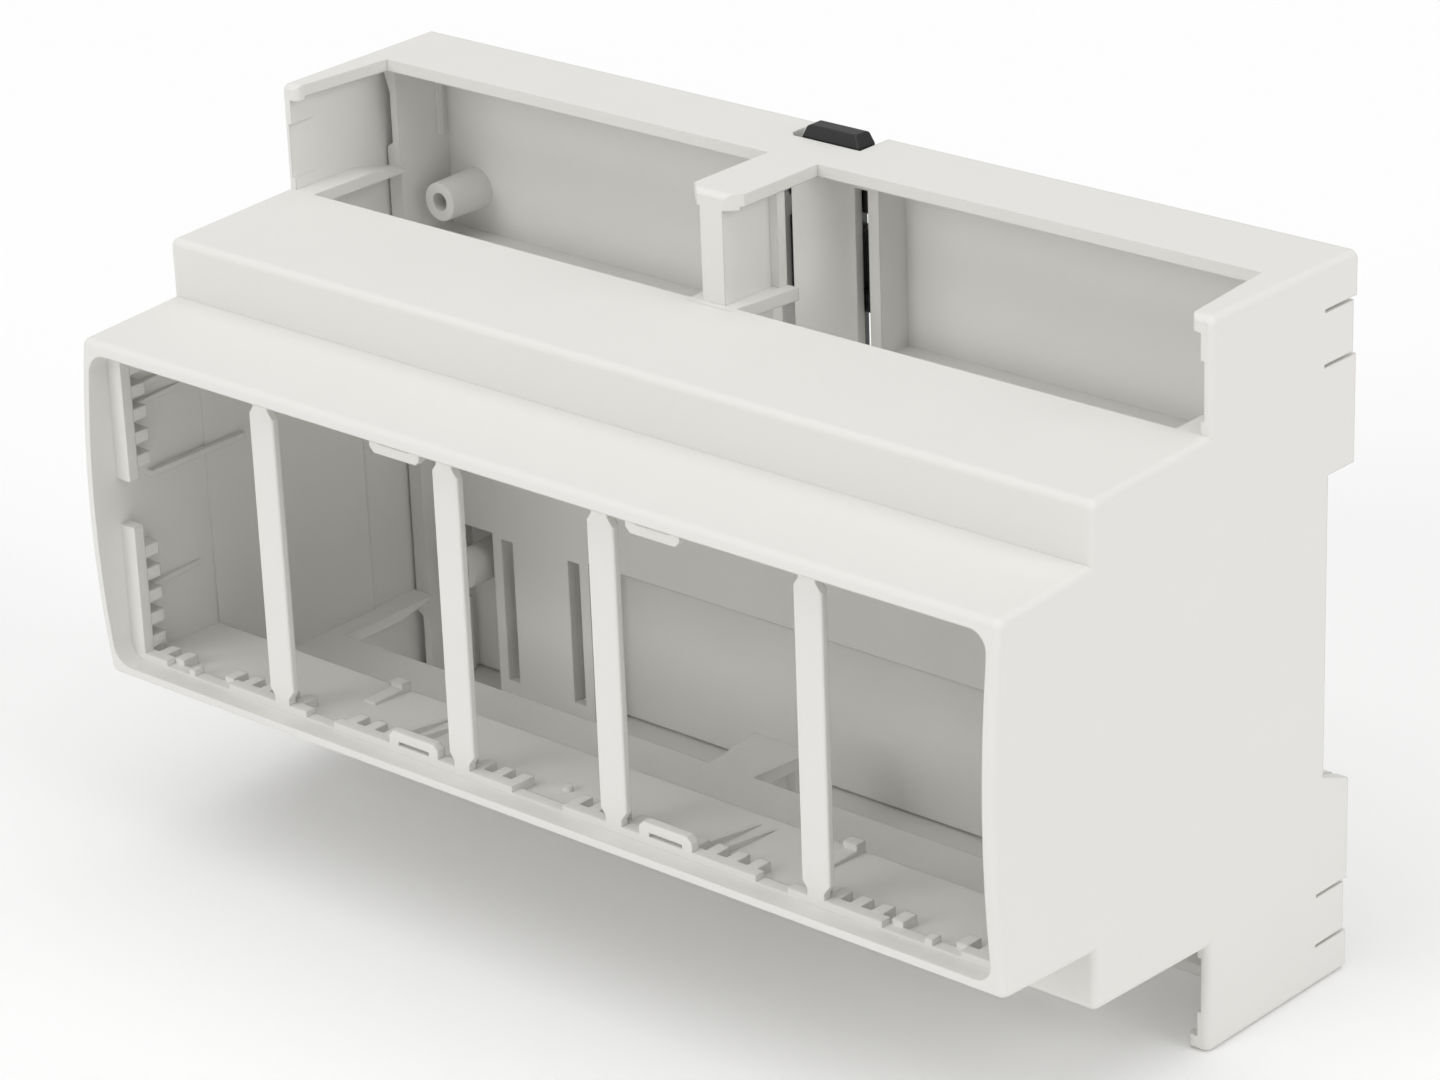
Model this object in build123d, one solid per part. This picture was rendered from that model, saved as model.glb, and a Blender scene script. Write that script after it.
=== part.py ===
from build123d import *
import os

os.makedirs("parts", exist_ok=True)

# Eight-module housing for a 35 mm rail, in millimetres.
# X runs to the right seen from the front, Y towards the wall behind, Z up.
# The origin is the middle of the rail seat. Depths are counted forward from the back plane.

# Outside of the housing: eight modules wide at the back, narrowed to the front by the mould's draft
width = 144.0
nose_width = 142.0
height = 90.0
nose_depth = 63.4
nose_bow = 1.6
nose_height = 44.7
nose_root_height = 46.3
mid_depth = 47.7
mid_height = 61.1
mid_root_height = 62.5
arm_depth = 26.8
wall = 1.6
edge_radius = 1.0
cut_margin = 1.0
same_place = 0.01

# Rail seat in the back
rail_height = 35.0
rail_flange = 1.0
seat_depth = 5.0
seat_play_above = 1.0
seat_play_below = 0.5
seat_slope = 1.9
recess_play = 1.2

# Rims, and the arms between the terminal bays
rim_depth = 12.0
rim_thickness = 1.5
arm_root_width = 4.4
arm_top_width = 3.0
arm_corner_radius = 1.0
arm_lip_depth = 1.3
arm_lip_drop = 0.5
arm_edge_thickness = 1.0
arm_edge_taper = 4.0
arm_ridge_low = 1.6
arm_ridge_high = 3.7
shelf_width = 3.2
shelf_depth = 10.5
shelf_bend_depth = 16.5
shelf_drop = 1.2
centre_top_width = 7.8
centre_corner_width = 1.8
centre_corner_depth = 1.6
centre_wall_width = 3.5
centre_wall_depth = 9.8
centre_wall_thickness = 1.0
centre_flange_width = 5.9
centre_flange_depth = 1.5
centre_tongue_width = 6.8
centre_tongue_root_width = 9.4

# Window in the nose
window_corner = 2.5
lip_setback = 2.4
lip_thickness = 1.5
side_lip_width = 2.4
side_lip_top_end = 3.4
side_lip_bottom_end = 2.7
lip_raised = 1.05
lip_low = 0.35
lip_raised_spans = ((4.0, 33.7), (38.3, 52.0), (58.0, 59.1))
lip_corner_width = 6.4

# Card guides behind the window lip
comb_pitch = 3.05
comb_notch = 1.5
comb_depth = 2.2
comb_side_height = 2.0
side_comb_upper_z = 7.2
side_comb_upper_count = 4
side_comb_lower_z = -20.2
side_comb_lower_count = 6
floor_comb_near_x = 6.2
floor_comb_near_count = 3
floor_comb_middle_x = 24.3
floor_comb_middle_count = 3
floor_comb_far_x = 42.5
floor_comb_far_count = 4
corner_comb_inset = 5.7
corner_comb_count = 2
guide_length = 11.5
side_guide_upper_step = 2
side_guide_lower_step = 3
guide_rib_setback = 3.6
guide_rib_length = 16.0
guide_rib_thickness = 0.8
guide_rib_height = 0.8
guide_rib_z = 2.5
peg_x = 36.3
peg_width = 2.1
peg_length = 1.5
peg_height = 1.4
peg_rib_length = 6.2
peg_rib_height = 0.6
button_inset = 7.7
button_radius = 0.6
button_height = 0.6
wall_step_depth = 18.3
wall_step = 0.25

# Break-out bars and clip loops across the window
bar_near_x = 12.1
bar_far_x = 42.5
bar_width = 4.1
bar_thickness = 1.1
bar_neck_width = 2.5
bar_shoulder_z = 17.8
bar_neck_z = 18.9
bar_edge_radius = 0.3
loop_centre = 20.1
loop_width = 8.1
loop_thickness = 1.2
loop_end_z = 17.9
loop_chamfer = 0.7
loop_slot_width = 5.0
loop_slot_low_z = 19.2
loop_slot_high_z = 20.6

# Snap tongues in the side walls, and what they hold
tongue_low_z = 33.05
tongue_high_z = 39.6
tongue_slit = 0.4
tongue_length = 6.0
tongue_inset = 0.6
nub_height = 1.0
nub_length = 1.4
snap_gap = 0.2

# Base
base_gap = 0.3
flange_gap = 0.4
base_wall = 1.6
flange_thickness = 2.2
flange_depth = 10.5
flange_notch = 1.0
catch_ridge = 1.2
groove_play = 0.8
groove_run_out = 3.0
groove_end_slope = 0.65
flange_rib_depth = 2.7
flange_rib_length = 0.8
flange_rib_height = 0.5
flange_rib_z = 32.6
ledge_z = 20.0
boss_inset = 9.0
boss_z = 25.8
boss_foot_radius = 2.75
boss_radius = 2.55
boss_hole_radius = 1.2
boss_depth = 8.5
boss_hole_length = 6.0

# Latch channels in the base: one above in the middle, two below with fixed hooks
channel_width = 17.2
channel_side = 1.65
channel_sink = 0.3
channel_end = 10.0
lower_channel_inset = 21.7
channel_slot = 2.0
channel_slot_low = 20.5
channel_slot_high = 40.8
channel_lip_back = 0.4
channel_lip_thickness = 1.2
channel_lip_reach = 1.7
channel_lip_gap_low = 32.6
channel_lip_gap_high = 34.7
channel_lip_bottom = 22.3
hook_width = 9.0
hook_reach = 2.0
hook_thickness = 1.5

# Rail latch
latch_gap = 0.3
latch_travel = 3.0
latch_shoulder_play = 0.3
latch_bottom = 24.6
latch_neck_width = 5.8
latch_neck_low = 34.6
latch_neck_high = 37.2
latch_head_width = 8.7
latch_head_rise = 1.5
latch_head_taper = 0.65
latch_head_radius = 0.4
latch_arm_width = 1.3
latch_bridge = 2.4
latch_hook_width = 5.6
latch_pocket_width = 5.0
latch_pocket_height = 2.6
latch_pocket_depth = 1.4
notch_gap = 0.5
notch_gap_left = 1.9
notch_corner = 0.8


def side_x(depth):
    """Half the outer width at a depth; the mould's draft narrows the shell towards the front."""
    return (width - (width - nose_width) * depth / nose_depth) / 2


def inner_x(depth):
    """Half the inner width at a depth."""
    return side_x(depth) - wall


# Places worked out from the sizes above
rim_z = height / 2
inner_rim_z = rim_z - rim_thickness
mid_root_z = mid_root_height / 2
mid_inner_z = mid_root_z - wall
nose_root_inner_z = nose_root_height / 2 - wall
window_z = nose_height / 2 - wall
nose_floor_back = mid_depth - wall
lip_front = nose_depth - lip_setback
lip_back_depth = lip_front - lip_thickness
window_x = inner_x(lip_front)
window_foot_x = window_x + wall / 2
comb_back = lip_back_depth - comb_depth
seat_top_z = rail_height / 2 + seat_play_above
seat_bottom_z = -rail_height / 2 - seat_play_below
base_front = seat_depth + base_wall
base_z = inner_rim_z - base_gap
flange_x = inner_x(flange_depth) - flange_gap
boss_x = width / 2 - boss_inset
lower_channel_x = width / 2 - lower_channel_inset
channel_inner_x = channel_width / 2 - channel_side
channel_floor = seat_depth + channel_sink
channel_lip_front = channel_lip_back + channel_lip_thickness
latch_back = channel_lip_front + latch_gap
latch_front = channel_floor - latch_gap
latch_x = channel_inner_x - latch_gap
latch_shoulder_z = inner_rim_z - latch_travel - latch_shoulder_play
hook_front = seat_depth - rail_flange - snap_gap
guide_back = lip_back_depth - guide_length


def at_depth(depth):
    """Y of a point that many millimetres in front of the back plane."""
    return seat_depth - depth


def block(x_span, depth_span, z_span):
    """A box between two limits on each axis."""
    (x0, x1), (d0, d1), (z0, z1) = x_span, depth_span, z_span
    centre = Pos((x0 + x1) / 2, at_depth((d0 + d1) / 2), (z0 + z1) / 2)
    return centre * Box(x1 - x0, d1 - d0, z1 - z0)


def side_prism(points, x_span):
    """An outline of (depth, height) points, run between two X positions."""
    outline = Polyline(*[(at_depth(depth), z) for depth, z in points], close=True)
    x0, x1 = x_span
    return extrude(Plane.YZ.offset(x0) * make_face(outline), x1 - x0)


def front_prism(points, depth_span):
    """An outline of (x, height) points, run between two depths."""
    outline = Polyline(*points, close=True)
    near, far = depth_span
    plane = Plane(origin=(0, at_depth(near), 0), x_dir=(1, 0, 0), z_dir=(0, -1, 0))
    return extrude(plane * make_face(outline), far - near)


def plan_prism(points, z_span):
    """An outline of (x, depth) points, run between two heights."""
    outline = Polyline(*[(x, at_depth(depth)) for x, depth in points], close=True)
    z0, z1 = z_span
    return extrude(Plane.XY.offset(z0) * make_face(outline), z1 - z0)


def between_sides(solid, inset):
    """The part of a solid between the drafted side planes, each moved in by the inset."""
    near, far = -cut_margin, nose_depth + nose_bow + cut_margin
    right = [(side_x(depth) - inset, depth) for depth in (near, far)]
    left = [(-x, depth) for x, depth in reversed(right)]
    return solid & plan_prism(right + left, (-height, height))


def left_and_right(solids):
    """The solids and their mirror images across the middle of the width."""
    return [*solids, *[mirror(solid, Plane.YZ) for solid in solids]]


def top_and_bottom(solids):
    """The solids and their mirror images across mid-height."""
    return [*solids, *[mirror(solid, Plane.XY) for solid in solids]]


def near_any(vertex, places):
    """True for a sketch corner that lies on one of the (depth, height) places."""
    return any(
        abs(vertex.X - at_depth(depth)) < same_place and abs(abs(vertex.Y) - z) < same_place
        for depth, z in places
    )


def nose_inner_z(depth):
    """Height of the nose's ceiling at a depth; the mould's draft opens it towards the back."""
    draft = (nose_root_inner_z - window_z) / (lip_front - nose_floor_back)
    return window_z + draft * (lip_front - depth)


def housing_block():
    """The outside of the shell: rims and arms, the mid step and the bowed nose, as one solid block."""
    arm_top = (arm_depth, rim_z)
    arm_root = (arm_depth, mid_root_z)
    mid_edge = (mid_depth, mid_height / 2)
    nose_root = (mid_depth, nose_root_height / 2)
    nose_edge = (nose_depth, nose_height / 2)
    upper = [(0, rim_z), arm_top, arm_root, mid_edge, nose_root, nose_edge]
    above = [(at_depth(depth), z) for depth, z in upper]
    below = [(y, -z) for y, z in above]
    crest = (at_depth(nose_depth + nose_bow), 0)
    outline = Curve() + [
        Polyline(*above),
        Polyline(*below),
        ThreePointArc(above[-1], crest, below[-1]),
        Line(above[0], below[0]),
    ]
    face = make_face(outline)
    outer = [v for v in face.vertices() if near_any(v, [arm_top, mid_edge, nose_edge])]
    whole = extrude(Plane.YZ * fillet(outer, edge_radius), width, both=True)
    whole = between_sides(whole, 0)
    sides = [face for face in whole.faces() if abs(face.normal_at().X) > 0.9]
    edges = [e for side in sides for e in side.edges() if e.center().Y < seat_depth - same_place]
    return fillet(edges, edge_radius)


def nose_cavity():
    """The space inside the nose: a straight recess with rounded corners, and a drafted space behind it."""
    front = Plane(origin=(0, at_depth(lip_front), 0), x_dir=(1, 0, 0), z_dir=(0, -1, 0))
    back = Plane(origin=(0, at_depth(nose_floor_back), 0), x_dir=(1, 0, 0), z_dir=(0, -1, 0))
    recess_length = nose_depth + nose_bow + cut_margin - lip_front
    recess = extrude(front * RectangleRounded(2 * window_x, 2 * window_z, window_corner), recess_length)
    back_x, back_z = inner_x(nose_floor_back), nose_inner_z(nose_floor_back)
    space = loft([front * Rectangle(2 * window_x, 2 * window_z), back * Rectangle(2 * back_x, 2 * back_z)])
    return [recess, space]


def inner_cavity():
    """The space inside the mid step and behind the bays, open at the back and at the bays' fronts."""
    front = arm_depth + cut_margin
    corners = [
        (-cut_margin, inner_rim_z),
        (front, inner_rim_z),
        (front, mid_root_z),
        (arm_depth, mid_root_z),
        (arm_depth, mid_inner_z),
        (nose_floor_back, mid_inner_z),
    ]
    lower = [(depth, -z) for depth, z in reversed(corners)]
    return between_sides(side_prism(corners + lower, (-width, width)), wall)


def bay_openings():
    """The openings in the top and bottom plates, which leave the arms with their rounded and cut corners."""
    r = arm_corner_radius
    arm_x = side_x(arm_depth) - arm_top_width
    half = centre_top_width / 2
    front = arm_depth + cut_margin
    points = [
        (arm_x + r, arm_depth),
        (arm_x + r, front),
        (half - centre_corner_width, front),
        (half - centre_corner_width, arm_depth),
        (half, arm_depth - centre_corner_depth),
        (half, rim_depth),
        (side_x(rim_depth) - arm_root_width, rim_depth),
        (arm_x, arm_depth - r),
    ]
    edge = [(x, at_depth(depth)) for x, depth in points]
    middle = (arm_x + r * (1 - 0.5**0.5), at_depth(arm_depth - r * (1 - 0.5**0.5)))
    outline = Curve() + [Polyline(*edge), ThreePointArc(edge[-1], middle, edge[0])]
    z0 = inner_rim_z - arm_lip_drop - cut_margin
    opening = extrude(Plane.XY.offset(z0) * make_face(outline), rim_z + cut_margin - z0)
    return left_and_right(top_and_bottom([opening]))


def side_arm_details():
    """Front lip and lower shelf of the right upper arm."""
    foot_x = inner_x(arm_depth) + wall / 2
    lip = block(
        (side_x(arm_depth) - arm_root_width, foot_x),
        (arm_depth - arm_lip_depth, arm_depth),
        (inner_rim_z - arm_lip_drop, inner_rim_z + rim_thickness / 2),
    )
    shelf = side_prism(
        [
            (arm_depth, mid_inner_z),
            (arm_depth, mid_root_z),
            (shelf_bend_depth, mid_root_z),
            (shelf_depth, mid_root_z - shelf_drop),
            (shelf_depth, mid_inner_z),
        ],
        (inner_x(arm_depth) - shelf_width, foot_x),
    )
    return [lip, shelf]


def side_arm_taper():
    """The taper along the inside of the right upper arm's front edge."""
    back = arm_depth - arm_edge_taper
    return plan_prism(
        [
            (inner_x(back) - cut_margin, back),
            (inner_x(back), back),
            (side_x(arm_depth) - arm_edge_thickness, arm_depth + cut_margin),
            (inner_x(back) - cut_margin, arm_depth + cut_margin),
        ],
        (mid_root_z + arm_ridge_low, rim_z - rim_thickness - arm_ridge_high),
    )


def centre_arm():
    """What stands under the upper middle arm's plate: its lip, a U-shaped wall and the tongue below."""
    half = centre_top_width / 2
    z_span = (mid_inner_z, inner_rim_z + rim_thickness / 2)
    lip = block((-half, half), (arm_depth - arm_lip_depth, arm_depth), (inner_rim_z - arm_lip_drop, z_span[1]))
    wall_back = arm_depth - centre_wall_depth
    wall_x = centre_wall_width / 2
    outside = block((-wall_x, wall_x), (wall_back, arm_depth), z_span)
    inside_x = wall_x - centre_wall_thickness
    inside_depths = (wall_back - cut_margin, arm_depth - centre_wall_thickness)
    inside = block((-inside_x, inside_x), inside_depths, (mid_root_z, z_span[1]))
    flange_half = centre_flange_width / 2
    flange = block((-flange_half, flange_half), (wall_back, wall_back + centre_flange_depth), z_span)
    gap = block((-inside_x, inside_x), inside_depths, z_span)
    front_half = centre_tongue_width / 2
    root_half = centre_tongue_root_width / 2
    front = arm_depth + cut_margin
    tongue = plan_prism(
        [(-front_half, front), (front_half, front), (root_half, wall_back), (-root_half, wall_back)],
        (mid_inner_z, mid_root_z),
    )
    return [lip, outside - inside, flange - gap, tongue]


def comb_ribs(first, count):
    """Middles of the ribs either side of each notch in one comb."""
    return [first + (k - 0.5) * comb_pitch for k in range(count + 1)]


def window_lips():
    """The stepped lip round the window that the front panel seats on."""
    lips = []
    depths = (lip_back_depth, lip_front)
    side_inner = window_x - side_lip_width
    outer = window_foot_x
    foot = window_z + wall / 2
    lips.append(block((side_inner, outer), depths, (side_lip_top_end, foot)))
    lips.append(block((side_inner, outer), depths, (-foot, -side_lip_bottom_end)))
    raised_z = window_z - lip_raised
    spans = [*lip_raised_spans, (window_x - lip_corner_width, outer)]
    lips += top_and_bottom([block(span, depths, (raised_z, foot)) for span in spans])
    lips += top_and_bottom([block((0, outer), depths, (window_z - lip_low, foot))])
    return left_and_right(lips)


def side_combs():
    """Middles of the ribs of the two combs on a side wall."""
    upper = comb_ribs(side_comb_upper_z, side_comb_upper_count)
    lower = comb_ribs(side_comb_lower_z, side_comb_lower_count)
    return upper + lower[:-1]


def floor_combs():
    """Middles of the ribs of the combs on the right half of the nose's floor and ceiling."""
    near = comb_ribs(floor_comb_near_x, floor_comb_near_count)
    middle = comb_ribs(floor_comb_middle_x, floor_comb_middle_count)
    far = comb_ribs(floor_comb_far_x, floor_comb_far_count)
    return near + middle + far + comb_ribs(window_x - corner_comb_inset, corner_comb_count)


def combs():
    """Short ribs that slope back from the lip to the walls and hold the edges of circuit boards."""
    half_rib = (comb_pitch - comb_notch) / 2
    foot = window_z + wall / 2
    side_wedge = [
        (window_foot_x, lip_back_depth),
        (window_x - comb_side_height, lip_back_depth),
        (inner_x(comb_back), comb_back),
        (window_foot_x, comb_back),
    ]
    floor_wedge = [
        (lip_back_depth, foot),
        (lip_back_depth, window_z - lip_raised),
        (comb_back, nose_inner_z(comb_back)),
        (comb_back, foot),
    ]
    ribs = []
    for z in side_combs():
        if abs(z) + half_rib < window_z:
            ribs.append(plan_prism(side_wedge, (z - half_rib, z + half_rib)))
    for x in floor_combs():
        ribs += top_and_bottom([side_prism(floor_wedge, (x - half_rib, x + half_rib))])
    return left_and_right(ribs)


def guides():
    """Long card guides that run back from some of the notches and fade into the wall."""
    half_notch = comb_notch / 2
    rib = (comb_pitch - comb_notch) / 2
    side_wedge = [
        (window_foot_x, lip_back_depth),
        (window_x - lip_raised, lip_back_depth),
        (inner_x(guide_back), guide_back),
        (window_foot_x, guide_back),
    ]
    upper = side_comb_upper_z + side_guide_upper_step * comb_pitch
    lower = side_comb_lower_z + side_guide_lower_step * comb_pitch
    starts = (upper - half_notch - rib, upper + half_notch, lower - half_notch - rib)
    solids = [plan_prism(side_wedge, (z0, z0 + rib)) for z0 in starts]
    rib_front = lip_back_depth - guide_rib_setback
    half_thickness = guide_rib_thickness / 2
    solids.append(
        block(
            (inner_x(rib_front) - guide_rib_height, window_foot_x),
            (rib_front - guide_rib_length, rib_front),
            (guide_rib_z - half_thickness, guide_rib_z + half_thickness),
        )
    )
    foot = nose_root_inner_z + wall / 2
    floor_wedge = [
        (lip_back_depth, foot),
        (lip_back_depth, window_z - lip_raised),
        (guide_back, nose_inner_z(guide_back)),
        (guide_back, foot),
    ]
    for x0 in (floor_comb_middle_x - half_notch - rib, floor_comb_middle_x + half_notch):
        solids += top_and_bottom([side_prism(floor_wedge, (x0, x0 + rib))])
    return left_and_right(solids)


def pegs():
    """Small stops at the back edge of the nose's floor, each on a low rib, and a button in the middle."""
    foot = nose_root_inner_z + wall / 2
    x_span = (peg_x - peg_width / 2, peg_x + peg_width / 2)
    peg_depths = (nose_floor_back, nose_floor_back + peg_length)
    rib_depths = (nose_floor_back, nose_floor_back + peg_rib_length)
    peg = block(x_span, peg_depths, (nose_root_inner_z - peg_height, foot))
    rib = block(x_span, rib_depths, (nose_root_inner_z - peg_rib_height, foot))
    button_depth = nose_depth - button_inset
    button_foot = nose_inner_z(button_depth) + wall / 2
    button_length = button_height + wall / 2
    place = Pos(0, at_depth(button_depth), button_foot - button_length / 2)
    button = place * Cylinder(button_radius, button_length)
    return left_and_right(top_and_bottom([peg, rib])) + top_and_bottom([button])


def wall_pads():
    """The slightly thicker part of each side wall inside the mid step."""
    depths = (wall_step_depth, nose_floor_back)
    inside = [(inner_x(depth) - wall_step, depth) for depth in depths]
    outside = [(inner_x(depth) + wall / 2, depth) for depth in reversed(depths)]
    return left_and_right([plan_prism(inside + outside, (-mid_inner_z, mid_inner_z))])


def bars_and_loops():
    """Break-out bars across the window, and the clip loops on its upper and lower edges."""
    solids = []
    foot = window_z + wall / 2
    half, neck = bar_width / 2, bar_neck_width / 2
    for x in (bar_near_x, bar_far_x):
        right = [(half, -bar_shoulder_z), (half, bar_shoulder_z), (neck, bar_neck_z), (neck, foot)]
        right = [(neck, -foot), (neck, -bar_neck_z), *right]
        left = [(-dx, z) for dx, z in reversed(right)]
        bar = front_prism([(x + dx, z) for dx, z in right + left], (lip_front - bar_thickness, lip_front))
        long_edges = [e for e in bar.edges().filter_by(Axis.Z) if e.length > bar_shoulder_z]
        solids.append(fillet(long_edges, bar_edge_radius))
    half = loop_width / 2
    inset = half - loop_chamfer
    outline = [
        (-half, foot),
        (-half, loop_end_z + loop_chamfer),
        (-inset, loop_end_z),
        (inset, loop_end_z),
        (half, loop_end_z + loop_chamfer),
        (half, foot),
    ]
    depths = (lip_front - loop_thickness, lip_front)
    loop = front_prism([(loop_centre + dx, z) for dx, z in outline], depths)
    slot_half = loop_slot_width / 2
    slot = block(
        (loop_centre - slot_half, loop_centre + slot_half),
        (depths[0] - cut_margin, depths[1] + cut_margin),
        (loop_slot_low_z, loop_slot_high_z),
    )
    return left_and_right(solids + top_and_bottom([loop - slot]))


def rail_recess():
    """The cut through both side walls that clears the rail."""
    top = rail_height / 2 + seat_play_above + recess_play
    bottom = seat_bottom_z
    points = [
        (-cut_margin, top),
        (seat_depth, top),
        (seat_depth, bottom),
        (0, bottom - seat_slope),
        (-cut_margin, bottom - seat_slope),
    ]
    return side_prism(points, (-width, width))


def tongue_cuts():
    """Two slits that free the right upper snap tongue, and the step that keeps it off the back plane."""
    x_span = (inner_x(tongue_length) - cut_margin, width / 2 + cut_margin)
    depths = (-cut_margin, tongue_length)
    half = tongue_slit / 2
    slits = [block(x_span, depths, (z - half, z + half)) for z in (tongue_low_z, tongue_high_z)]
    step = block(x_span, (-cut_margin, tongue_inset), (tongue_low_z, tongue_high_z))
    return [*slits, step]


def nub_span():
    """Heights between which a snap nub stands on its tongue."""
    return (tongue_low_z + tongue_slit, tongue_high_z - tongue_slit)


def snap_nub():
    """The wedge inside the right upper tongue that hooks behind the base's flange."""
    back = tongue_inset
    front = back + nub_length
    root, tip = inner_x(back) + wall / 2, inner_x(back) - nub_height
    return plan_prism([(root, back), (tip + nub_height * 2 / 3, back), (tip, front), (root, front)], nub_span())


def latch_notch():
    """The opening in the upper rim that the latch's head stands in, wider on its left."""
    right = latch_head_width / 2 + notch_gap
    left = latch_head_width / 2 + notch_gap_left
    front = latch_front + latch_gap
    return plan_prism(
        [
            (-left, -cut_margin),
            (-left, front - notch_corner),
            (notch_corner - left, front),
            (right, front),
            (right, -cut_margin),
        ],
        (inner_rim_z - cut_margin, rim_z + cut_margin),
    )


def make_front_shell():
    """The front moulding: walls, window, bays, arms, guides, bars and loops."""
    shell = housing_block() - [*nose_cavity(), inner_cavity()]
    shell = shell + left_and_right(top_and_bottom(side_arm_details())) + top_and_bottom(centre_arm())
    shell = shell - bay_openings()
    shell = shell - left_and_right(top_and_bottom([side_arm_taper(), *tongue_cuts()]))
    shell = shell - [rail_recess(), latch_notch()]
    shell = shell + (window_lips() + combs() + guides() + pegs() + wall_pads() + bars_and_loops())
    return shell + left_and_right(top_and_bottom([snap_nub()]))


def seat_outline(front_upper):
    """Back of the base: flat wall, rail seat and flat wall again, closed by the given front points."""
    back_upper = [(0, base_z), (0, seat_top_z), (seat_depth, seat_top_z)]
    back_lower = [(seat_depth, seat_bottom_z), (0, seat_bottom_z - seat_slope), (0, -base_z)]
    front_lower = [(depth, -z) for depth, z in front_upper]
    return back_upper + back_lower + front_lower + front_upper[::-1]


def screw_boss():
    """The right upper screw boss, standing on the bay wall."""
    length = boss_depth - base_wall / 2
    place = Pos(boss_x, at_depth(boss_depth - length / 2), boss_z) * Rot(90, 0, 0)
    return place * Cone(boss_foot_radius, boss_radius, length)


def screw_hole():
    """The blind hole in the right upper screw boss."""
    depth = boss_depth - boss_hole_length / 2 + cut_margin / 2
    place = Pos(boss_x, at_depth(depth), boss_z) * Rot(90, 0, 0)
    return place * Cylinder(boss_hole_radius, boss_hole_length + cut_margin)


def flange_cuts():
    """The notch in the right upper flange for the snap nub, and the groove that leads the nub to it."""
    outer = flange_x + cut_margin
    groove_x = flange_x - flange_notch
    seat = tongue_inset + nub_length + snap_gap
    z0, z1 = nub_span()
    low, high = z0 - snap_gap, z1 + groove_play
    catch = block((groove_x, outer), (-cut_margin, seat), (low, z1 + snap_gap))
    lead = front_prism(
        [
            (groove_x, low),
            (groove_x, high),
            (flange_x, high + groove_run_out),
            (outer, high + groove_run_out),
            (outer, low - groove_end_slope),
            (flange_x, low - groove_end_slope),
        ],
        (seat + catch_ridge, flange_depth + cut_margin),
    )
    return [catch, lead]


def channel_outside(x, z_low):
    """The box of a latch channel, standing forward from the bay wall."""
    half = channel_width / 2
    return block((x - half, x + half), (0, base_front), (z_low, base_z))


def channel_cuts(x):
    """The hollow of a latch channel and its two long slots."""
    inner = channel_inner_x
    hollow = block((x - inner, x + inner), (-cut_margin, channel_floor), (channel_end, base_z + cut_margin))
    slot_depths = (seat_depth, base_front + cut_margin)
    cuts = [hollow]
    for x0 in (x - inner, x + inner - channel_slot):
        cuts.append(block((x0, x0 + channel_slot), slot_depths, (channel_slot_low, channel_slot_high)))
    return cuts


def channel_lips(x):
    """Guide lips along both sides of a channel, behind the slots."""
    inner = channel_inner_x
    root = inner + channel_side / 2
    edge = inner - channel_lip_reach
    depths = (channel_lip_back, channel_lip_front)
    lips = []
    for z_span in ((channel_lip_bottom, channel_lip_gap_low), (channel_lip_gap_high, base_z)):
        lips.append(block((x - root, x - edge), depths, z_span))
        lips.append(block((x + edge, x + root), depths, z_span))
    return lips


def fixed_hook():
    """The moulded hook in the right lower channel, which holds the rail's lower flange."""
    lip_top = -rail_height / 2 + hook_reach
    back = hook_front - hook_thickness
    points = [
        (0, seat_bottom_z - seat_slope - base_wall),
        (0, seat_bottom_z - seat_slope),
        (back, lip_top - hook_thickness),
        (back + hook_thickness / 2, lip_top),
        (hook_front, lip_top),
        (hook_front, seat_bottom_z),
        (base_front, seat_bottom_z),
        (base_front, seat_bottom_z - seat_slope - base_wall),
    ]
    half = hook_width / 2
    return side_prism(points, (lower_channel_x - half, lower_channel_x + half))


def make_base():
    """The back moulding: rail seat, bay walls, side flanges, latch channels, bosses and hooks."""
    front_upper = [(base_wall, base_z), (base_wall, ledge_z), (base_front, ledge_z)]
    corners = [(at_depth(depth), z) for depth, z in seat_outline(front_upper)]
    plate = extrude(Plane.YZ * make_face(Polyline(*corners, close=True)), flange_x, both=True)
    flange_outline = seat_outline([(flange_depth, base_z)])
    flange = side_prism(flange_outline, (flange_x - flange_thickness, flange_x))
    flange_rib = block(
        (flange_x - flange_thickness - flange_rib_height, flange_x - flange_thickness / 2),
        (flange_rib_depth, flange_rib_depth + flange_rib_length),
        (flange_rib_z, base_z),
    )
    upper = [channel_outside(0, ledge_z - base_wall)]
    lower = [mirror(channel_outside(lower_channel_x, ledge_z - base_wall), Plane.XY)]
    base = plate + left_and_right([flange, *top_and_bottom([flange_rib])]) + upper + left_and_right(lower)
    base = base + left_and_right(top_and_bottom([screw_boss()]))
    base = base - left_and_right(top_and_bottom([screw_hole(), *flange_cuts()]))
    base = base - channel_cuts(0)
    base = base - left_and_right([mirror(cut, Plane.XY) for cut in channel_cuts(lower_channel_x)])
    base = base + channel_lips(0)
    base = base + left_and_right([mirror(lip, Plane.XY) for lip in channel_lips(lower_channel_x)])
    return base + left_and_right([fixed_hook()])


def latch_head():
    """The part of the latch above the rim, narrower at its top, with softened edges."""
    middle = at_depth((latch_back + latch_front) / 2)
    thickness = latch_front - latch_back
    foot = Pos(0, middle, rim_z) * Rectangle(latch_head_width, thickness)
    top_outline = Rectangle(latch_head_width - 2 * latch_head_taper, thickness - latch_head_taper)
    head = loft([foot, Pos(0, middle, rim_z + latch_head_rise) * top_outline])
    return fillet(head.edges().group_by(Axis.Z)[-1], latch_head_radius)


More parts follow.
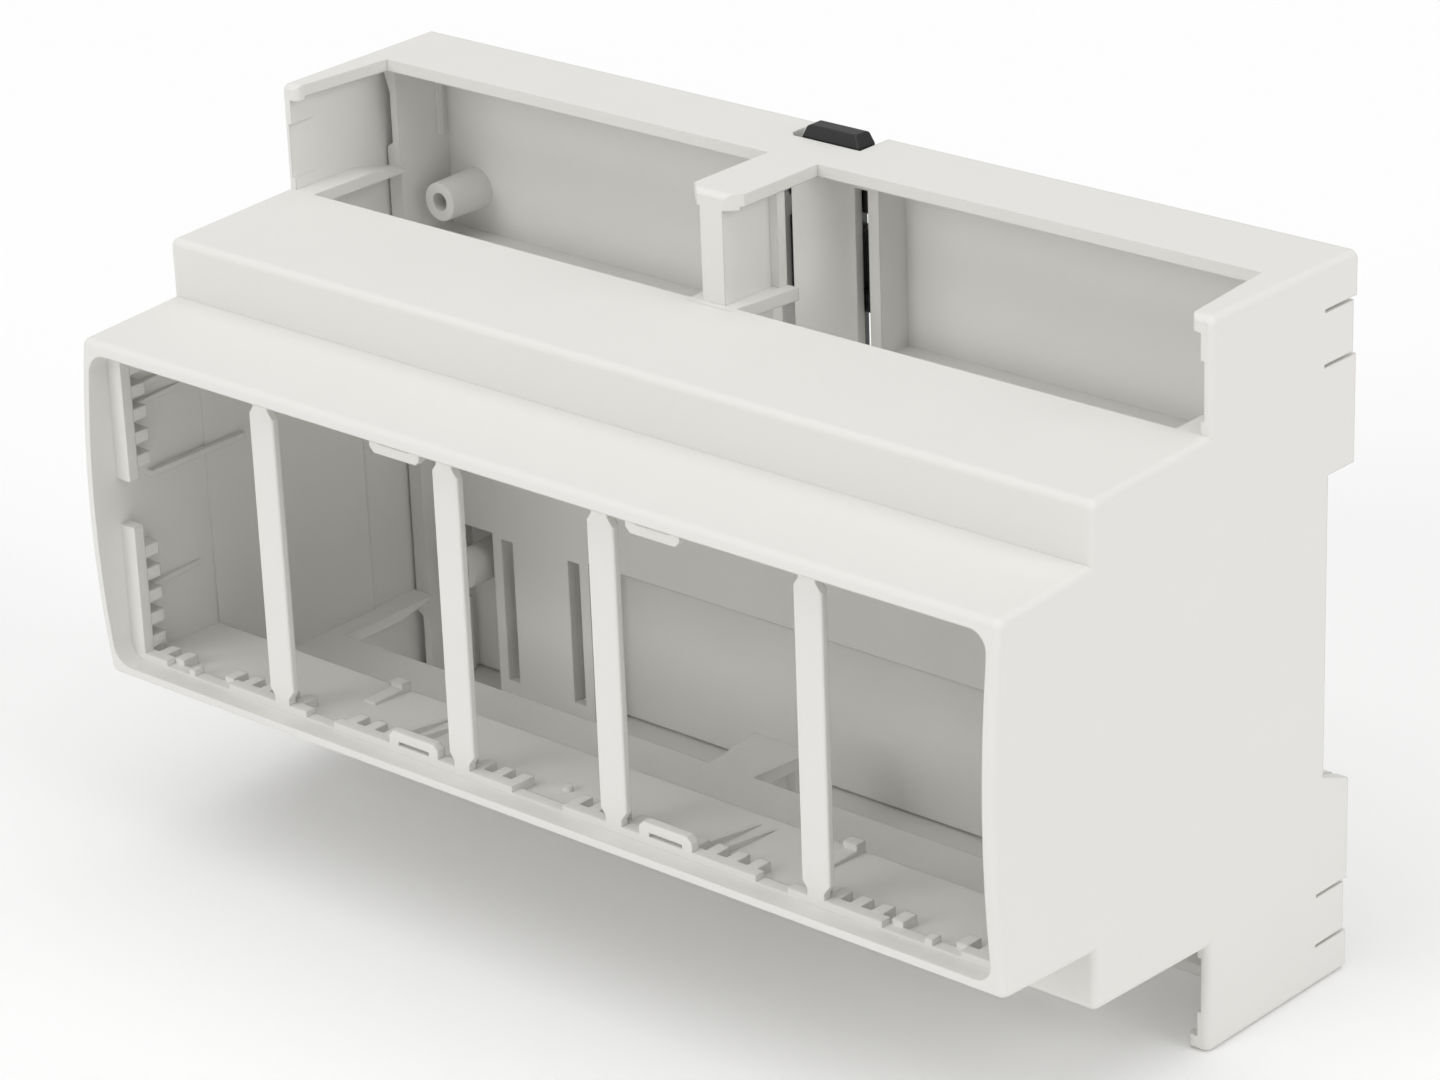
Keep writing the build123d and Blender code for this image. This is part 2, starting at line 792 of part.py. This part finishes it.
def make_rail_latch():
    """The black slider: shoulders that run in the channel, two spring arms, the hook and the head."""
    depths = (latch_back, latch_front)
    head_half = latch_head_width / 2
    stem = block((-head_half, head_half), depths, (latch_bottom, rim_z))
    shoulders = block((-latch_x, latch_x), depths, (latch_neck_high, latch_shoulder_z))
    bridge = block((-latch_x, latch_x), depths, (latch_bottom, latch_bottom + latch_bridge))
    arm_inner_x = latch_x - latch_arm_width
    arms = left_and_right([block((arm_inner_x, latch_x), depths, (latch_bottom, latch_neck_low))])
    waist = block(
        (latch_neck_width / 2, channel_width / 2), (0, base_front), (latch_neck_low, latch_neck_high)
    )
    hook_low = rail_height / 2 - hook_reach
    hook = side_prism(
        [
            (latch_back, latch_bottom),
            (latch_back, hook_low + hook_thickness),
            (hook_front - hook_thickness / 2, hook_low),
            (hook_front, hook_low),
            (hook_front, seat_top_z),
            (latch_front, seat_top_z + hook_thickness / 2),
            (latch_front, latch_bottom),
        ],
        (-latch_hook_width / 2, latch_hook_width / 2),
    )
    pocket_top = latch_shoulder_z + latch_pocket_height
    pocket = block(
        (-latch_pocket_width / 2, latch_pocket_width / 2),
        (latch_back - cut_margin, latch_back + latch_pocket_depth),
        (latch_shoulder_z, pocket_top),
    )
    return stem + [shoulders, bridge, *arms, latch_head(), hook] - [*left_and_right([waist]), pocket]


export_step(make_front_shell(), "parts/front_shell.step")
export_step(make_base(), "parts/base.step")
export_step(make_rail_latch(), "parts/rail_latch.step")
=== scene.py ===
import math

import bmesh
import bpy
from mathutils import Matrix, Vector


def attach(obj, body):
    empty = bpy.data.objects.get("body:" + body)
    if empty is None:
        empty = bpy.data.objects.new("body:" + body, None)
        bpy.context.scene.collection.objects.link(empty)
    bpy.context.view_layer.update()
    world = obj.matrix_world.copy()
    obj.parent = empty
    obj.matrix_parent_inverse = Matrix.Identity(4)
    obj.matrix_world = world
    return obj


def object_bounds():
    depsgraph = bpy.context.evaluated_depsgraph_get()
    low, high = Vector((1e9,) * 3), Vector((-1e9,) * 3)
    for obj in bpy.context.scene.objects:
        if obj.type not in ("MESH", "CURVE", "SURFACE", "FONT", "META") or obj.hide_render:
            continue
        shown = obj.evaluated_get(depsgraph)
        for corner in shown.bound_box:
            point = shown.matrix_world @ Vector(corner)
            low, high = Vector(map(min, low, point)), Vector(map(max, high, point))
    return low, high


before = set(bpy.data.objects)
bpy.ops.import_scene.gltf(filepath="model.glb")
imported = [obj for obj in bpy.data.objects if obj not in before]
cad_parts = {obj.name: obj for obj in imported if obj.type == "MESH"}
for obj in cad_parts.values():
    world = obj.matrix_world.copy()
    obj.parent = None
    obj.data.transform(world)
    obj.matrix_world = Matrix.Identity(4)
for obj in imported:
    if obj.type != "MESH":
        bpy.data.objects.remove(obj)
CAD_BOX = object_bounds()

# Linear colours of the mouldings, the floor and the surround
SHELL_GREY = (0.785, 0.777, 0.747)
BASE_GREY = (0.785, 0.777, 0.747)
LATCH_BLACK = (0.010, 0.010, 0.011)
FLOOR_WHITE = (0.98, 0.98, 0.98)
SURROUND_WHITE = (1.0, 1.0, 1.0)
OPAQUE = (1.0,)

# Each plastic's roughness, specular level, strength of the grain and spread of the tone
GREY_FINISH = (0.62, 0.4, 0.25, 0.012)
LATCH_FINISH = (0.30, 0.6, 0.3, 0.10)

# Scale per metre, detail and roughness of the noises in the plastics
TONE_NOISE = (90.0, 3.0, 0.5)
GLOSS_NOISE = (400.0, 2.0, 0.5)
GRAIN_NOISE = (6000.0, 3.0, 0.6)

# Spread of the gloss, and in metres the depth of the grain and the radius of the softened edges
GLOSS_SPREAD = 0.04
GRAIN_DEPTH = 0.00002
EDGE_RADIUS = 0.0003
EDGE_SAMPLES = 6

# Places of the colour sockets on a mix node
MIX_DARK = 6
MIX_LIGHT = 7
MIX_RESULT = 2

# Side of the floor in metres, and its matt finish
FLOOR_SIZE = 6.0
FLOOR_ROUGHNESS = 1.0
FLOOR_SPECULAR = 0.0

# The photograph's camera, in metres, degrees and millimetres of lens
CAMERA_PLACE = (0.355844, -0.419005, 0.228930)
CAMERA_TURN = (66.630, 1.985, 41.045)
CAMERA_LENS = 121.032
CAMERA_SENSOR = 36.0
CAMERA_SHIFT = (-0.0001, 0.01253)

# Soft studio light: the surround's strength, then each lamp's direction, spread in degrees and strength
SURROUND_STRENGTH = 0.46
FRONT_LAMP = ((-0.3, -1.0, 0.45), 30.0, 0.72)
RIGHT_LAMP = ((1.0, 0.1, 0.5), 40.0, 0.72)
TOP_LAMP = ((0.0, -0.1, 1.0), 70.0, 1.12)

# The new pieces are measured in millimetres, and the scene is in metres
MILLIMETRE = 0.001

# Corners of each face of a box, counted along Z first, then Y, then X
BOX_FACES = (
    (0, 1, 3, 2),
    (4, 6, 7, 5),
    (0, 4, 5, 1),
    (2, 3, 7, 6),
    (0, 2, 6, 4),
    (1, 5, 7, 3),
)

# Comb teeth, slightly larger than the housing's own ribs so that no faces coincide
COMB_PITCH = 3.05
TOOTH_WIDTH = 1.6
TOOTH_Y = (-54.7, -52.3)
SIDE_TOOTH_INNER = 67.058
SIDE_TOOTH_OUTER = 69.8
FLOOR_TOOTH_INNER = 19.69
FLOOR_TOOTH_OUTER = 21.05

# Middle of the first notch and number of notches of each comb
SIDE_COMBS = ((7.2, 4), (-17.15, 4))
FLOOR_COMBS = ((6.2, 3), (24.3, 3), (42.5, 4), (63.738, 2))

# Side walls of the two lower latch channels, from the channel's floor back to its lips
CHANNEL_MIDDLE = 50.3
CHANNEL_WALL_NEAR = 4.6
CHANNEL_WALL_FAR = 5.0
CHANNEL_WALL_Y = (-0.35, 3.4)
CHANNEL_WALL_Z = (-41.0, -21.0)


def noise(tree, coordinates, scale, detail, roughness):
    """A noise texture on the object's own coordinates."""
    node = tree.nodes.new("ShaderNodeTexNoise")
    node.inputs["Scale"].default_value = scale
    node.inputs["Detail"].default_value = detail
    node.inputs["Roughness"].default_value = roughness
    tree.links.new(coordinates, node.inputs["Vector"])
    return node.outputs["Fac"]


def moulded_plastic(name, colour, roughness, specular, grain, shade):
    """Injection-moulded plastic: fine spark-eroded grain, slight tone variation and softened edges."""
    material = bpy.data.materials.new(name)
    material.use_nodes = True
    tree = material.node_tree
    shader = tree.nodes["Principled BSDF"]
    coordinates = tree.nodes.new("ShaderNodeTexCoord").outputs["Object"]

    tone = tree.nodes.new("ShaderNodeMix")
    tone.data_type = "RGBA"
    tree.links.new(noise(tree, coordinates, *TONE_NOISE), tone.inputs["Factor"])
    tone.inputs[MIX_DARK].default_value = tuple(c * (1 - shade) for c in colour) + OPAQUE
    tone.inputs[MIX_LIGHT].default_value = tuple(c * (1 + shade) for c in colour) + OPAQUE
    tree.links.new(tone.outputs[MIX_RESULT], shader.inputs["Base Color"])

    gloss = tree.nodes.new("ShaderNodeMapRange")
    gloss.inputs["To Min"].default_value = roughness - GLOSS_SPREAD
    gloss.inputs["To Max"].default_value = roughness + GLOSS_SPREAD
    tree.links.new(noise(tree, coordinates, *GLOSS_NOISE), gloss.inputs["Value"])
    tree.links.new(gloss.outputs["Result"], shader.inputs["Roughness"])

    soften = tree.nodes.new("ShaderNodeBevel")
    soften.samples = EDGE_SAMPLES
    soften.inputs["Radius"].default_value = EDGE_RADIUS
    bump = tree.nodes.new("ShaderNodeBump")
    bump.inputs["Strength"].default_value = grain
    bump.inputs["Distance"].default_value = GRAIN_DEPTH
    tree.links.new(noise(tree, coordinates, *GRAIN_NOISE), bump.inputs["Height"])
    tree.links.new(soften.outputs["Normal"], bump.inputs["Normal"])
    tree.links.new(bump.outputs["Normal"], shader.inputs["Normal"])
    shader.inputs["Specular IOR Level"].default_value = specular
    return material


def dress(node, material):
    """Give a carried-over piece its material."""
    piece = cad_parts[node]
    piece.data.materials.clear()
    piece.data.materials.append(material)


def add_object(name, data):
    """A new object in the scene that holds a mesh, a lamp or a camera."""
    new = bpy.data.objects.new(name, data)
    bpy.context.scene.collection.objects.link(new)
    return new


def add_box(mesh, x_span, y_span, z_span):
    """One box, whose limits are in millimetres, added to a mesh that is being built."""
    corners = []
    for x in x_span:
        for y in y_span:
            corners += [mesh.verts.new(Vector((x, y, z)) * MILLIMETRE) for z in z_span]
    for face in BOX_FACES:
        mesh.faces.new([corners[k] for k in face])


def finish_piece(mesh, name, material):
    """Turn a finished mesh into a piece of the housing."""
    data = bpy.data.meshes.new(name)
    mesh.to_mesh(data)
    mesh.free()
    piece = add_object(name, data)
    data.materials.append(material)
    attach(piece, "housing")


def tooth_spans(combs):
    """The limits of the teeth either side of each notch of some combs."""
    half = TOOTH_WIDTH / 2
    middles = [first + (k - 0.5) * COMB_PITCH for first, count in combs for k in range(count + 1)]
    return [(middle - half, middle + half) for middle in middles]


def make_comb_teeth(material):
    """Teeth behind the window's lip that hold circuit boards by their edges."""
    mesh = bmesh.new()
    for span in tooth_spans(SIDE_COMBS):
        add_box(mesh, (SIDE_TOOTH_INNER, SIDE_TOOTH_OUTER), TOOTH_Y, span)
        add_box(mesh, (-SIDE_TOOTH_OUTER, -SIDE_TOOTH_INNER), TOOTH_Y, span)
    for low, high in tooth_spans(FLOOR_COMBS):
        for span in ((low, high), (-high, -low)):
            add_box(mesh, span, TOOTH_Y, (FLOOR_TOOTH_INNER, FLOOR_TOOTH_OUTER))
            add_box(mesh, span, TOOTH_Y, (-FLOOR_TOOTH_OUTER, -FLOOR_TOOTH_INNER))
    finish_piece(mesh, "comb_teeth", material)


def make_channel_walls(material):
    """Side walls of the two lower latch channels, which close the slots beside the channels."""
    mesh = bmesh.new()
    for middle in (-CHANNEL_MIDDLE, CHANNEL_MIDDLE):
        right = (middle + CHANNEL_WALL_NEAR, middle + CHANNEL_WALL_FAR)
        left = (middle - CHANNEL_WALL_FAR, middle - CHANNEL_WALL_NEAR)
        add_box(mesh, right, CHANNEL_WALL_Y, CHANNEL_WALL_Z)
        add_box(mesh, left, CHANNEL_WALL_Y, CHANNEL_WALL_Z)
    finish_piece(mesh, "channel_walls", material)


def make_floor():
    """A plain pale floor under the housing."""
    lowest = CAD_BOX[0].z
    bpy.ops.mesh.primitive_plane_add(size=FLOOR_SIZE, location=(0, 0, lowest))
    floor = bpy.context.object
    floor.name = "floor"
    material = bpy.data.materials.new("pale_floor")
    material.use_nodes = True
    shader = material.node_tree.nodes["Principled BSDF"]
    shader.inputs["Base Color"].default_value = FLOOR_WHITE + OPAQUE
    shader.inputs["Roughness"].default_value = FLOOR_ROUGHNESS
    shader.inputs["Specular IOR Level"].default_value = FLOOR_SPECULAR
    floor.data.materials.append(material)


def soft_lamp(name, direction, spread, strength):
    """A broad, distant lamp that shines on the housing from a direction."""
    data = bpy.data.lights.new(name, "SUN")
    data.angle = math.radians(spread)
    data.energy = strength
    lamp = add_object(name, data)
    lamp.rotation_euler = (-Vector(direction)).to_track_quat("-Z", "Y").to_euler()


def make_lights():
    """Plain soft studio light: a white surround and broad lamps from the front, the right and above."""
    world = bpy.data.worlds.new("studio")
    world.use_nodes = True
    background = world.node_tree.nodes["Background"]
    background.inputs["Color"].default_value = SURROUND_WHITE + OPAQUE
    background.inputs["Strength"].default_value = SURROUND_STRENGTH
    bpy.context.scene.world = world
    soft_lamp("front_lamp", *FRONT_LAMP)
    soft_lamp("right_lamp", *RIGHT_LAMP)
    soft_lamp("top_lamp", *TOP_LAMP)


def make_camera():
    """The camera where the photograph was taken from."""
    data = bpy.data.cameras.new("camera")
    data.lens = CAMERA_LENS
    data.sensor_width = CAMERA_SENSOR
    data.shift_x, data.shift_y = CAMERA_SHIFT
    camera = add_object("camera", data)
    camera.location = CAMERA_PLACE
    camera.rotation_euler = [math.radians(turn) for turn in CAMERA_TURN]
    bpy.context.scene.camera = camera


shell_plastic = moulded_plastic("shell_plastic", SHELL_GREY, *GREY_FINISH)
base_plastic = moulded_plastic("base_plastic", BASE_GREY, *GREY_FINISH)
latch_plastic = moulded_plastic("latch_plastic", LATCH_BLACK, *LATCH_FINISH)
dress("front_shell", shell_plastic)
dress("base", base_plastic)
dress("rail_latch", latch_plastic)
make_comb_teeth(shell_plastic)
make_channel_walls(base_plastic)
make_floor()
make_lights()
make_camera()
bpy.context.scene.view_settings.view_transform = "Standard"
